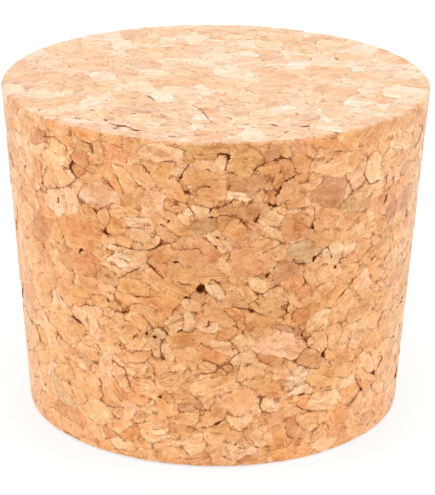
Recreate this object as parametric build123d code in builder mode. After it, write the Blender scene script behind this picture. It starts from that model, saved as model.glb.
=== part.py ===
from build123d import *
import os

# Tapered stopper of agglomerated cork, pressed from granules and ground to shape as one piece.
# It stands on its narrow end: the origin is the centre of that face, and +Z runs up the axis
# to the wide end. All lengths are in millimetres.

# The taper that wedges into a neck
top_diameter = 38.0
bottom_diameter = 34.0
height = 30.0

# The two rims, ground nearly sharp and only slightly worn
top_rim_radius = 0.25
bottom_rim_radius = 0.35

top_radius = top_diameter / 2
bottom_radius = bottom_diameter / 2

with BuildPart() as cork_stopper:
    # Half of the section, turned about the axis
    with BuildSketch(Plane.XZ):
        with BuildLine():
            Polyline((0, 0), (bottom_radius, 0), (top_radius, height), (0, height), close=True)
        make_face()
    revolve(axis=Axis.Z)

    # The rims are the only full circles, the narrow end's first
    rims = cork_stopper.edges().filter_by(GeomType.CIRCLE).sort_by(Axis.Z)
    fillet(rims.first, radius=bottom_rim_radius)
    fillet(rims.last, radius=top_rim_radius)

cork_stopper.part.label = "cork_stopper"

os.makedirs("parts", exist_ok=True)
export_step(cork_stopper.part, "parts/cork_stopper.step")
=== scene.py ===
import math

import bpy
import numpy as np
from mathutils import Matrix, Vector
from mathutils.kdtree import KDTree


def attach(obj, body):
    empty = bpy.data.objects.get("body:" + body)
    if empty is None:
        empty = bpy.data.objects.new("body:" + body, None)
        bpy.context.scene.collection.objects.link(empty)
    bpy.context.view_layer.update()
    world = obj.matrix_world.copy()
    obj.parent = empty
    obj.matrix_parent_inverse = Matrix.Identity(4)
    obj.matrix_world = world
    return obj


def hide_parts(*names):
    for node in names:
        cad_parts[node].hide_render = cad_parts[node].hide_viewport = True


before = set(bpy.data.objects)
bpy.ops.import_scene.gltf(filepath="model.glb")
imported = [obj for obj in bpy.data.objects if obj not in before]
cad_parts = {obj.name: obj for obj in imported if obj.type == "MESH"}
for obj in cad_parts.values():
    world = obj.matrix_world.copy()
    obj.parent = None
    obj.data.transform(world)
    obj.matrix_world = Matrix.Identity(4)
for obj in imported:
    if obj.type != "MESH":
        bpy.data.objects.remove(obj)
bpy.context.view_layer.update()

# A tapered stopper of agglomerated cork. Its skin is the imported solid's own surface, divided into the
# faces of crushed cork granules, with open joints, voids and worn rims cut into it. Lengths are in metres.

NODE = "cork_stopper"
BODY = "root"
SEED = 38

# The photograph's frame in pixels, and the camera that took it, with its sensor in millimetres
PHOTO_WIDTH, PHOTO_HEIGHT = 435, 495
FOCAL_PIXELS = 2149.0
SENSOR = 36.0
CAMERA_DISTANCE = 0.1965
CAMERA_ELEVATION = math.radians(20.55)
CAMERA_ROLL = math.radians(0.585)
CAMERA_AIM = Vector((0.0003, 0.0, 0.01394))
CLIP_RATIO = 100

# The skin's mesh
MESH_STEP = 0.000425
MESH_ROW = MESH_STEP * math.sqrt(3) / 2
POLE_RADIUS = MESH_STEP / 4
LEAST_ROWS, LEAST_IN_RING = 3, 5
MESH_JITTER_SHARE, JITTERED_ROWS = 0.18, 4
CUT_SHARE_LIMITS = (0.22, 0.78)
CUT_SMOOTHING = 0.35
OUTLINE_DECIMALS = 7
FLAT = 1e-6

# Granules: half lengths by size class with the number of tries, from the largest down, and their shape
GRANULE_CLASSES = ((0.0021, 700), (0.0017, 1500), (0.0013, 3500), (0.00095, 6000), (0.00065, 7000))
GRANULE_SPACING_SHARE = 0.80
GRANULE_WIDTH_SHARE = (0.62, 1.0)
GRANULE_HEIGHT_SHARE = (0.33, 0.56)
GRANULE_TILT = math.radians(22)
SKIN_DEPTH = 0.0026
SEEN_DEPTH_SHARE = 0.2
WARPS = ((0.0014, 0.00034), (0.0007, 0.00018), (0.0004, 0.00010))

# Joints between granules: how many stand open, and how far
CLOSED_SHARE = 0.62
JOINT_HALF_WIDTH = 0.00008
JOINT_DEPTH = 0.0004
JOINT_WAVE, JOINT_MEAN, JOINT_SPREAD = 0.0007, 0.45, 0.9
JOINT_CONTRAST = 1.6
CORNER_OPEN_SHARE, CORNER_LEAST = 0.24, 0.2
CORNER_REACH = 0.00045
OPEN_LIMIT = 0.08
END_OPEN_SHARE = 0.1
NEAR_GASH, NEAR_GASH_OPEN_SHARE = 0.004, 0.5
ZONE_WAVE, ZONE_MEAN, ZONE_SPREAD = 0.003, 0.8, 0.9
LIP_DROP = 0.00002

# Relief of the ground faces
SETTLE = 0.00002
LOW_SHARE = 0.10
LOW_DEPTH = (0.00004, 0.00012)
END_LOW_SHARE = 0.4
TILT_RISE = 0.025
STEP_DEPTH = 0.00008
VOID_AREA = 0.6e-6
VOID_SHARE = 0.07
VOID_DEPTH = (0.0003, 0.0007)
HOLLOW_DEPTH = 0.00015
ROUGHNESS_WAVE, ROUGHNESS_DEPTH = 0.00045, 0.00003
RIM_WEAR, RIM_REACH, RIM_WAVES = 0.00018, 0.0008, (0.0017, 0.0007)
# Depth at which the painted shade of hollows is full
FULL_SHADE_DEPTH = 0.0005
EDGE_REACH = 0.0004

# The skin's finishes, each with its specular level and its sheen, and their numbers
FINISHES = {"cork": (0.05, 0.68), "cork_joints": (0.0, 0.0), "cork_ends": (0.05, 0.2)}
SIDE_MATERIAL, JOINT_MATERIAL, END_MATERIAL = range(len(FINISHES))
SHARP_ANGLE = math.radians(35)

# The unrolled skin's map
MAP_STRIPS, MAP_MARGIN = 3, 0.0015

# Cork tints as they look in plain light, with how common each is
TINTS = {
    "tan": ((237, 172, 114), 0.34),
    "sand": ((243, 182, 125), 0.20),
    "pale": ((247, 193, 141), 0.10),
    "orange": ((237, 161, 98), 0.12),
    "ochre": ((233, 169, 104), 0.10),
    "salmon": ((238, 167, 116), 0.05),
    "rust": ((214, 141, 88), 0.03),
    "blush": ((247, 194, 149), 0.03),
    "cream": ((250, 202, 151), 0.01),
    "brown": ((212, 147, 98), 0.01),
    "plum": ((204, 139, 98), 0.005),
    "grey": ((215, 168, 119), 0.005),
}
TINT_SPREAD, TINT_HUE_SPREAD = 0.03, 0.0075
TINT_STRENGTH = 0.68
COMMON_TINT, GASH_TINT = "tan", "plum"
GRAIN_SPREAD = 0.25
GASH_GRAIN = (1.0, 0.0, 0.0)

# Granules that stand out in the photograph: pixels at both ends, breadth as a share of length, tint
SEEN_GRANULES = (
    ((70, 182), (71, 221), 0.50, "blush"), ((80, 188), (124, 200), 0.50, "blush"),
    ((58, 230), (96, 236), 0.80, "orange"), ((98, 141), (98, 158), 0.70, "pale"),
    ((137, 152), (179, 154), 0.42, "blush"), ((180, 152), (220, 153), 0.35, "ochre"),
    ((184, 179), (220, 179), 0.40, "ochre"), ((184, 192), (192, 193), 0.70, "rust"),
    ((194, 224), (214, 225), 0.75, "grey"), ((232, 160), (258, 160), 1.00, "ochre"),
    ((237, 188), (246, 188), 0.80, "rust"), ((236, 198), (246, 199), 0.70, "pale"),
    ((239, 210), (260, 216), 0.75, "brown"), ((221, 212), (234, 214), 0.90, "rust"),
    ((281, 226), (307, 227), 0.65, "rust"), ((310, 142), (338, 140), 0.30, "orange"),
    ((313, 192), (344, 190), 0.80, "plum"), ((317, 170), (359, 163), 0.50, "sand"),
    ((350, 192), (364, 167), 0.45, "blush"), ((374, 153), (376, 185), 0.55, "pale"),
    ((391, 201), (391, 213), 0.85, "plum"), ((273, 277), (297, 269), 0.60, "plum"),
    ((292, 252), (321, 257), 0.60, "grey"), ((234, 258), (275, 261), 0.60, "salmon"),
    ((366, 269), (361, 293), 0.55, "cream"), ((140, 300), (186, 304), 0.40, "orange"),
    ((257, 344), (305, 346), 0.45, "blush"), ((256, 357), (290, 359), 0.30, "rust"),
    ((226, 412), (256, 392), 0.80, "salmon"), ((308, 326), (328, 320), 0.90, "cream"),
    ((181, 444), (204, 445), 0.75, "pale"), ((240, 440), (258, 438), 0.75, "pale"),
    ((228, 420), (250, 425), 0.50, "pale"), ((146, 409), (160, 410), 0.60, "pale"),
    ((205, 283), (226, 297), 0.40, "cream"), ((226, 342), (254, 343), 0.45, "cream"),
    ((328, 249), (343, 250), 0.95, "cream"), ((72, 262), (95, 260), 1.00, "rust"),
    ((98, 275), (115, 277), 0.60, "brown"), ((114, 257), (144, 258), 0.45, "blush"),
    ((94, 306), (92, 337), 0.55, "blush"), ((110, 304), (121, 309), 0.70, "rust"),
    ((147, 337), (166, 336), 0.80, "grey"), ((177, 306), (200, 306), 0.35, "pale"),
    ((196, 388), (243, 386), 0.42, "sand"), ((308, 397), (341, 398), 0.38, "cream"),
    ((299, 360), (321, 361), 0.65, "brown"), ((189, 407), (200, 407), 0.80, "plum"),
    ((105, 357), (105, 382), 0.45, "blush"), ((131, 403), (130, 417), 0.80, "blush"),
    ((232, 360), (256, 358), 0.55, "pale"), ((274, 327), (281, 331), 0.80, "plum"),
    ((293, 376), (312, 373), 0.55, "blush"), ((352, 337), (363, 337), 1.30, "pale"),
    ((263, 57), (282, 58), 0.90, "brown"), ((194, 115), (211, 119), 0.80, "cream"),
    ((222, 105), (234, 107), 0.60, "orange"), ((250, 128), (268, 128), 0.70, "ochre"),
)

# Tints that the photograph shows on the top, at pixels inside the granules
SEEN_TINTS = {
    "cream": (
        (135, 46), (203, 41), (255, 54), (357, 66), (12, 84), (172, 99), (290, 106), (320, 111),
        (357, 104), (385, 106), (345, 85),
    ),
    "pale": (
        (395, 88), (262, 136), (108, 94),
    ),
    "orange": (
        (98, 54), (45, 80), (25, 70), (42, 57), (164, 35), (185, 46), (292, 75), (117, 85), (144, 107),
        (265, 91), (385, 96), (160, 118), (195, 75), (207, 103), (60, 100), (55, 87), (80, 112),
        (40, 107),
    ),
    "rust": (
        (81, 80), (29, 87), (229, 32), (310, 39), (129, 35),
    ),
}

# Gashes that stand out in the photograph: half width in hundredths of a millimetre, pixels on the way
GASH_UNIT = 0.00001
SEEN_GASHES = (
    # On the side and its rims
    (11, (72, 160), (70, 165), (72, 172), (78, 180)), (6, (78, 181), (65, 186), (50, 190)),
    (6, (57, 140), (66, 147), (69, 158)), (13, (57, 197), (59, 203)),
    (7, (87, 204), (97, 211), (98, 218)), (6, (98, 211), (110, 204)), (14, (104, 232), (107, 236)),
    (8, (191, 164), (183, 172), (178, 181)), (14, (179, 178), (181, 176)), (9, (216, 156), (221, 153)),
    (7, (193, 160), (196, 158)), (5, (201, 170), (210, 170)), (6, (198, 188), (211, 186)),
    (11, (208, 187), (211, 187)), (9, (150, 190), (153, 191)), (7, (156, 191), (160, 191)),
    (6, (170, 199), (180, 202)), (10, (184, 192), (190, 193)), (12, (184, 202), (188, 204)),
    (6, (188, 205), (196, 216)), (6, (172, 206), (179, 204)), (12, (168, 219), (170, 223)),
    (9, (158, 222), (161, 226), (168, 228)), (11, (210, 209), (213, 214)), (13, (211, 215), (214, 218)),
    (6, (210, 208), (222, 206)), (6, (215, 217), (226, 215), (230, 219)), (6, (228, 181), (227, 190)),
    (7, (232, 184), (234, 189)), (7, (236, 196), (230, 203), (223, 206)),
    (8, (240, 218), (242, 224), (249, 229)), (8, (256, 192), (260, 191)), (14, (230, 154), (228, 161)),
    (7, (228, 161), (225, 171)), (12, (261, 212), (258, 218), (254, 224)),
    (9, (255, 171), (258, 165), (270, 163), (280, 159), (286, 158), (293, 161)),
    (12, (254, 171), (257, 169)), (8, (296, 167), (297, 173)), (7, (313, 162), (318, 162), (324, 156)),
    (7, (324, 164), (328, 161)), (6, (332, 153), (337, 151), (343, 151)), (9, (346, 173), (348, 176)),
    (9, (280, 190), (283, 183), (302, 174)), (14, (282, 186), (281, 191)), (9, (274, 190), (279, 192)),
    (10, (273, 195), (279, 194)), (6, (258, 192), (262, 187)), (8, (264, 190), (266, 193)),
    (14, (269, 205), (271, 205)), (13, (275, 205), (279, 207)), (8, (314, 217), (319, 219)),
    (10, (308, 228), (315, 228)), (6, (158, 236), (164, 241)), (12, (152, 250), (160, 245)),
    (7, (163, 244), (172, 242)), (7, (203, 239), (208, 240), (213, 245)), (9, (217, 237), (218, 240)),
    (11, (213, 247), (220, 246)), (6, (180, 250), (190, 250), (200, 248)), (16, (173, 264), (177, 260)),
    (10, (149, 265), (154, 271)), (7, (155, 272), (160, 277), (164, 278)),
    (6, (177, 280), (180, 284), (188, 283), (192, 288)), (58, (201, 289), (203, 290)),
    (12, (204, 292), (210, 293)), (9, (211, 281), (214, 278)), (9, (214, 280), (220, 288)),
    (7, (221, 290), (226, 295)), (14, (185, 298), (191, 299)), (9, (201, 304), (205, 303)),
    (9, (230, 307), (241, 309), (250, 309)), (13, (250, 308), (252, 312)), (7, (254, 312), (267, 317)),
    (10, (257, 304), (260, 306)), (20, (313, 262), (317, 257)), (10, (317, 257), (326, 246)),
    (10, (327, 247), (331, 253)), (11, (331, 256), (332, 259)), (16, (334, 267), (336, 267)),
    (7, (337, 265), (341, 259), (348, 257)), (7, (293, 259), (296, 264), (300, 265)),
    (12, (300, 265), (306, 264)), (11, (267, 273), (268, 277)), (8, (274, 268), (276, 268)),
    (6, (278, 240), (282, 244), (288, 245)), (6, (262, 254), (270, 250), (277, 248)),
    (8, (274, 256), (277, 255)), (8, (303, 277), (306, 281), (304, 286), (298, 289)),
    (6, (250, 288), (256, 294), (262, 295)), (9, (299, 298), (301, 302)), (9, (286, 306), (290, 304)),
    (10, (287, 311), (288, 313)), (10, (339, 299), (346, 291)), (6, (362, 171), (370, 185), (383, 179)),
    (15, (77, 253), (83, 249)), (16, (107, 300), (110, 302)), (14, (119, 312), (128, 314)),
    (11, (59, 293), (63, 301)), (8, (80, 305), (94, 306)), (18, (74, 317), (80, 323)),
    (12, (176, 332), (183, 330)), (7, (235, 325), (241, 333)), (20, (151, 335), (156, 338)),
    (20, (370, 262), (375, 256)), (9, (302, 333), (308, 346)), (16, (322, 355), (324, 356)),
    (8, (113, 390), (118, 398)), (8, (125, 367), (129, 387)), (16, (159, 397), (162, 399)),
    (10, (159, 357), (166, 360)), (7, (204, 360), (217, 364)), (6, (218, 369), (228, 362), (235, 367)),
    (12, (260, 396), (261, 408)), (18, (214, 426), (223, 420)), (13, (298, 396), (306, 394)),
    (4, (108, 307), (119, 311)), (7, (128, 308), (129, 313)), (5, (120, 302), (123, 309)),
    (4, (131, 304), (141, 304), (151, 307), (159, 311)), (6, (141, 315), (146, 320), (150, 326)),
    (9, (132, 338), (137, 334)), (10, (144, 335), (149, 334)), (6, (150, 330), (160, 328), (168, 328)),
    (7, (165, 334), (169, 334)), (6, (165, 338), (160, 345)), (6, (182, 312), (184, 321), (183, 329)),
    (6, (184, 334), (191, 333), (195, 328)), (4, (191, 311), (198, 314)),
    (9, (208, 320), (210, 325), (206, 328)), (4, (171, 316), (174, 309), (181, 303)),
    (9, (241, 333), (244, 333)), (5, (221, 341), (231, 342)), (6, (270, 310), (271, 315)),
    (7, (281, 307), (284, 309)), (6, (297, 307), (300, 310)), (9, (279, 328), (281, 331)),
    (13, (301, 334), (303, 336)), (12, (308, 347), (310, 349)), (4, (306, 322), (305, 331)),
    (6, (309, 338), (313, 333), (318, 331)), (7, (325, 308), (332, 308)),
    (6, (326, 332), (328, 338), (328, 343)), (9, (349, 339), (350, 343)), (6, (364, 328), (366, 333)),
    (6, (87, 345), (92, 348)), (5, (98, 346), (101, 352)), (6, (93, 361), (99, 364)),
    (6, (130, 355), (135, 352), (142, 351)), (4, (129, 361), (139, 363), (148, 360)),
    (4, (111, 359), (118, 365), (124, 367)), (7, (152, 349), (153, 356), (158, 360)),
    (6, (160, 345), (161, 352), (165, 356)), (5, (232, 350), (242, 348)), (7, (234, 357), (241, 354)),
    (5, (245, 367), (254, 363)), (5, (198, 373), (207, 376), (214, 373)),
    (4, (214, 373), (224, 376), (232, 373)), (6, (251, 381), (258, 379)), (9, (325, 349), (327, 348)),
    (6, (297, 359), (300, 356)), (4, (284, 357), (290, 361), (298, 364)),
    (4, (299, 365), (310, 368), (320, 368)), (6, (291, 391), (294, 386)), (6, (96, 385), (101, 387)),
    (6, (256, 396), (263, 396), (270, 399)), (5, (113, 407), (125, 407)), (6, (95, 409), (99, 411)),
    (7, (129, 427), (134, 428)), (4, (152, 430), (160, 429)), (6, (178, 440), (181, 436)),
    (6, (203, 438), (205, 440)), (4, (181, 447), (186, 451), (190, 455)), (6, (193, 406), (199, 410)),
    (6, (204, 409), (213, 413)), (6, (199, 429), (206, 427)), (5, (262, 411), (269, 414), (276, 411)),
    (4, (229, 430), (241, 431)), (9, (234, 445), (237, 445)), (6, (254, 447), (261, 448)),
    (4, (262, 447), (270, 445)), (6, (287, 431), (289, 439)), (5, (293, 438), (304, 440)),
    (7, (310, 411), (318, 413)), (6, (42, 137), (55, 136), (58, 141)),
    (5, (75, 164), (97, 176), (110, 185), (122, 197)), (8, (74, 135), (82, 141), (92, 145), (91, 153)),
    (8, (117, 159), (119, 161)), (6, (138, 164), (152, 174)), (7, (116, 176), (120, 187), (124, 196)),
    (6, (160, 163), (173, 160)), (6, (104, 207), (111, 209), (109, 217), (122, 219)),
    (6, (120, 230), (130, 228), (143, 228)), (6, (106, 242), (122, 247), (138, 251), (149, 251)),
    (6, (112, 251), (118, 259), (130, 262)), (8, (98, 270), (106, 277), (114, 279)),
    (8, (83, 274), (87, 277)), (5, (116, 279), (130, 273), (142, 266)),
    (7, (127, 293), (134, 296), (150, 297)), (7, (346, 176), (350, 186), (354, 192)),
    (8, (388, 194), (385, 203)), (6, (313, 208), (316, 218), (310, 227)),
    (6, (232, 216), (238, 218), (243, 222)), (5, (262, 294), (279, 286)),
    # On the top
    (15, (103, 119), (106, 120)), (19, (109, 123), (113, 124), (118, 126), (128, 125)),
    (17, (114, 128), (119, 128)), (16, (130, 127), (135, 130), (144, 130)), (10, (111, 112), (114, 114)),
    (10, (130, 113), (135, 113)), (12, (193, 104), (201, 110), (208, 116), (212, 122)),
    (10, (160, 113), (166, 117)), (12, (148, 95), (155, 100)), (14, (171, 136), (176, 135)),
    (10, (178, 133), (184, 134)), (12, (217, 99), (226, 102)), (12, (242, 124), (249, 124)),
    (16, (272, 124), (278, 125)), (10, (296, 112), (299, 115)), (14, (302, 126), (308, 126)),
    (12, (284, 133), (290, 131)), (14, (327, 130), (334, 132), (341, 134)), (10, (304, 101), (309, 104)),
    (12, (369, 109), (375, 110)), (12, (360, 95), (366, 97)), (12, (225, 117), (232, 119)),
    (10, (75, 118), (84, 119)), (10, (252, 106), (258, 109)),
)
GASH_DEPTH = (0.00008, 0.00045)
GASH_WAVE, GASH_UNEVENNESS = 0.0004, 0.5
GASH_WOBBLE_WAVE, GASH_WOBBLE = 0.0006, 0.00014
GASH_END_SHARE, GASH_SLIM = 0.5, 8
GASH_WALL_SHARE = 0.4
GASH_WIDTH_SHARE = 0.6
GASH_STAIN, GASH_STAIN_SHARE, GASH_STAIN_MOST = 0.12, 6500, 0.8
GASH_SAMPLES_A_STEP, GASH_LEAST_SAMPLES = 8, 3
GASH_CUT_LIMITS = (0.08, 0.80)
FLAKE_LEAST_GASH, FLAKE_HALF_LENGTH = 0.0005, 0.0009
FLAKE_LENGTH_SHARE, FLAKE_BREADTH_SHARE = 0.75, 0.6

rng = np.random.default_rng(SEED)


def linear(colour):
    """Scene-linear colour of an 8-bit display colour."""
    c = np.asarray(colour, float) / 255
    return np.where(c <= 0.04045, c / 12.92, ((c + 0.055) / 1.055) ** 2.4)


# Surface of the solid

def stopper_outline(node):
    """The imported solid's half section (radius, height), from the middle of the foot to that of the top."""
    places = np.array([v.co for v in node.data.vertices])
    section = np.column_stack([np.hypot(places[:, 0], places[:, 1]), places[:, 2]])
    low, high = section[:, 1].min(), section[:, 1].max()
    foot = section[section[:, 1] < low + FLAT][:, 0].max()
    head = section[section[:, 1] > high - FLAT][:, 0].max()
    wall = section[(section[:, 1] > low + FLAT) & (section[:, 1] < high - FLAT)]
    wall = np.unique(wall.round(OUTLINE_DECIMALS), axis=0)
    wall = wall[np.argsort(wall[:, 1])]
    return np.vstack([(0, low), (foot, low), wall, (head, high), (0, high)])


OUTLINE = stopper_outline(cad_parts[NODE])
RUNS = np.diff(OUTLINE, axis=0)
RUN_LENGTHS = np.hypot(RUNS[:, 0], RUNS[:, 1])
STATIONS = np.concatenate([[0], np.cumsum(RUN_LENGTHS)])
SIDE_RUN = 1 + int(np.argmax(RUN_LENGTHS[1:-1]))
TOP_HEIGHT = OUTLINE[-1, 1]


def on_outline(points):
    """The outline's nearest places to points: station, radius, height, and the normal's radius and height."""
    section = np.column_stack([np.hypot(points[:, 0], points[:, 1]), points[:, 2]])
    best = np.full(len(points), np.inf)
    found = np.zeros((len(points), 5))
    for start, run, length, station in zip(OUTLINE, RUNS, RUN_LENGTHS, STATIONS):
        along = np.clip((section - start) @ run / length**2, 0, 1)
        place = start + along[:, None] * run
        gap = ((section - place) ** 2).sum(1)
        nearer = gap < best
        best[nearer] = gap[nearer]
        found[nearer, 0] = station + along[nearer] * length
        found[nearer, 1:3] = place[nearer]
        found[nearer, 3] = run[1] / length
        found[nearer, 4] = -run[0] / length
    return found


def at_station(station):
    """Radius and height of the outline at stations along it."""
    return np.interp(station, STATIONS, OUTLINE[:, 0]), np.interp(station, STATIONS, OUTLINE[:, 1])


def spin(radius, height, angle):
    """Points in space from a radius, a height and an angle about the axis."""
    return np.column_stack([radius * np.cos(angle), radius * np.sin(angle), height])


def onto_skin(points):
    """Points moved to the solid's surface, and the outward normals there."""
    found = on_outline(points)
    angle = np.arctan2(points[:, 1], points[:, 0])
    return spin(found[:, 1], found[:, 2], angle), spin(found[:, 3], found[:, 4], angle)


def unit(vectors):
    """Vectors brought to length 1."""
    return vectors / np.maximum(np.linalg.norm(vectors, axis=1), FLAT**2)[:, None]


def on_ends(points):
    """True for points on the two flat ends."""
    station = on_outline(points)[:, 0]
    return (station < STATIONS[1]) | (station > STATIONS[-2])


# Smooth noise

class Lattice:
    """Smooth noise from -1 to 1 on a lattice of the given cell size, with several values at once."""

    CELLS = 48

    def __init__(self, cell, values=1):
        self.cell = cell
        self.table = rng.uniform(-1, 1, (self.CELLS,) * 3 + (values,))

    def __call__(self, points):
        place = points / self.cell
        corner = np.floor(place).astype(int)
        share = place - corner
        share = share * share * (3 - 2 * share)
        total = 0
        for step in np.ndindex(2, 2, 2):
            weight = np.prod(np.where(step, share, 1 - share), axis=1)
            i, j, k = ((corner + step) % self.CELLS).T
            total = total + weight[:, None] * self.table[i, j, k]
        return total


# Camera

def camera_axes():
    """Right, up and back directions of the photograph's camera."""
    back = Vector((0, -math.cos(CAMERA_ELEVATION), math.sin(CAMERA_ELEVATION)))
    right = Vector((1, 0, 0))
    up = back.cross(right)
    turn = Matrix.Rotation(CAMERA_ROLL, 3, back)
    return turn @ right, turn @ up, back


def make_camera():
    right, up, back = camera_axes()
    data = bpy.data.cameras.new("camera")
    data.sensor_width = SENSOR
    data.lens = FOCAL_PIXELS * SENSOR / max(PHOTO_WIDTH, PHOTO_HEIGHT)
    data.clip_start, data.clip_end = CAMERA_DISTANCE / CLIP_RATIO, CAMERA_DISTANCE * CLIP_RATIO
    camera = bpy.data.objects.new("camera", data)
    turn = Matrix((right, up, back)).transposed().to_4x4()
    camera.matrix_world = Matrix.Translation(CAMERA_AIM + back * CAMERA_DISTANCE) @ turn
    bpy.context.scene.collection.objects.link(camera)
    bpy.context.scene.camera = camera


def seen_place(pixel):
    """The place on the solid's surface that a pixel of the photograph shows."""
    right, up, back = camera_axes()
    ray = right * (pixel[0] - PHOTO_WIDTH / 2) - up * (pixel[1] - PHOTO_HEIGHT / 2) - back * FOCAL_PIXELS
    _, place, _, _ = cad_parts[NODE].ray_cast(CAMERA_AIM + back * CAMERA_DISTANCE, ray)
    return onto_skin(np.array([place]))[0][0]


# Granules

class Granules:
    """Crushed cork granules under the skin. Each has a centre and a squashed, turned ball for a shape."""

    MOST = 8000

    def __init__(self):
        self.count = 0
        self.all_centres = np.zeros((self.MOST, 3))
        self.all_shapes = np.zeros((self.MOST, 3, 3))
        self.tints = []

    @property
    def centres(self):
        return self.all_centres[:self.count]

    @property
    def shapes(self):
        return self.all_shapes[:self.count]

    def room_for(self, centre, shape):
        """True if a new granule keeps its distance from those already there."""
        apart = centre - self.centres
        theirs = np.sqrt((np.einsum("sij,sj->si", self.shapes, apart) ** 2).sum(1))
        its_own = np.sqrt(((apart @ shape.T) ** 2).sum(1))
        return bool(np.all(1 / theirs + 1 / its_own < 1 / GRANULE_SPACING_SHARE))

    def add(self, centre, shape, tint):
        self.all_centres[self.count] = centre
        self.all_shapes[self.count] = shape
        self.tints.append(tint)
        self.count += 1

    def depths(self, points):
        """How far points lie outside each granule's own ball, as an area: the lowest one owns the point."""
        area = np.linalg.det(self.shapes) ** (-2 / 3)
        forms = np.einsum("s,sji,sjk->sik", area, self.shapes, self.shapes)
        pull = np.einsum("sij,sj->si", forms, self.centres)
        own = np.einsum("si,si->s", pull, self.centres) - area
        weights = np.vstack([forms.reshape(-1, 9).T, -2 * pull.T, own])
        products = np.einsum("pi,pj->pij", points, points).reshape(-1, 9)
        return np.column_stack([products, points, np.ones(len(points))]) @ weights


def granule_shape(half_length):
    """A random granule's own metric: flat along the axis of pressing, turned and tilted at random."""
    width = half_length * rng.uniform(*GRANULE_WIDTH_SHARE)
    height = half_length * rng.uniform(*GRANULE_HEIGHT_SHARE)
    yaw = Matrix.Rotation(rng.uniform(0, math.tau), 3, "Z")
    tilt = Matrix.Rotation(rng.normal(0, GRANULE_TILT), 3, "X")
    lean = Matrix.Rotation(rng.normal(0, GRANULE_TILT), 3, "Y")
    turn = np.array(yaw @ tilt @ lean)
    return np.diag([1 / half_length, 1 / width, 1 / height]) @ turn.T


def random_places(count):
    """Random places in the skin that the granules fill."""
    station = rng.uniform(0, STATIONS[-1], count)
    radius, height = at_station(station)
    kept = rng.uniform(0, OUTLINE[:, 0].max(), count) < radius
    places = spin(radius, height, rng.uniform(0, math.tau, count))[kept]
    skin, normal = onto_skin(places)
    return skin - normal * rng.uniform(0, SKIN_DEPTH, (len(skin), 1))


def seen_granule(start, end, breadth_share):
    """Centre and shape of a granule that the photograph shows, from the pixels at its ends."""
    start, end = seen_place(start), seen_place(end)
    (middle,), (normal,) = onto_skin((start + end)[None] / 2)
    half_length = np.linalg.norm(end - start) / 2
    along = (end - start) / np.linalg.norm(end - start)
    across = np.cross(normal, along)
    half_depth = half_length * (1 + breadth_share) / 2
    axes = np.array([along / half_length, across / half_length / breadth_share, normal / half_depth])
    return middle - normal * half_depth * SEEN_DEPTH_SHARE, axes


def flakes_beside(pixels, warp):
    """Pairs of granules that meet along the runs of a seen gash, each as its centre and shape."""
    corners = np.array([seen_place(pixel) for pixel in pixels])
    for start, end in zip(corners, corners[1:]):
        length = np.linalg.norm(end - start)
        if length > FLAKE_LEAST_GASH:
            (middle,), (normal,) = onto_skin((start + end)[None] / 2)
            half_length = max(length * FLAKE_LENGTH_SHARE, FLAKE_HALF_LENGTH)
            breadth = half_length * FLAKE_BREADTH_SHARE
            along = (end - start) / length
            across = np.cross(normal, along)
            shape = np.array([along / half_length, across / breadth, normal / breadth])
            meeting = middle + warp(middle[None])[0] - normal * breadth * SEEN_DEPTH_SHARE
            yield (meeting + across * breadth, shape), (meeting - across * breadth, shape)


def sow_granules(warp):
    """The seen granules where they belong, and random ones wherever there is room."""
    granules = Granules()
    for start, end, breadth_share, tint in SEEN_GRANULES:
        centre, shape = seen_granule(start, end, breadth_share)
        granules.add(centre + warp(centre[None])[0], shape, tint)
    names, shares = list(TINTS), [share for _, share in TINTS.values()]
    for _, *pixels in SEEN_GASHES:
        for pair in flakes_beside(pixels, warp):
            if all(granules.room_for(*flake) for flake in pair):
                for flake in pair:
                    granules.add(*flake, rng.choice(names, p=shares))
    for half_length, tries in GRANULE_CLASSES:
        for place in random_places(tries):
            shape = granule_shape(half_length)
            if granules.room_for(place, shape):
                granules.add(place, shape, rng.choice(names, p=shares))
    return granules


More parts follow.
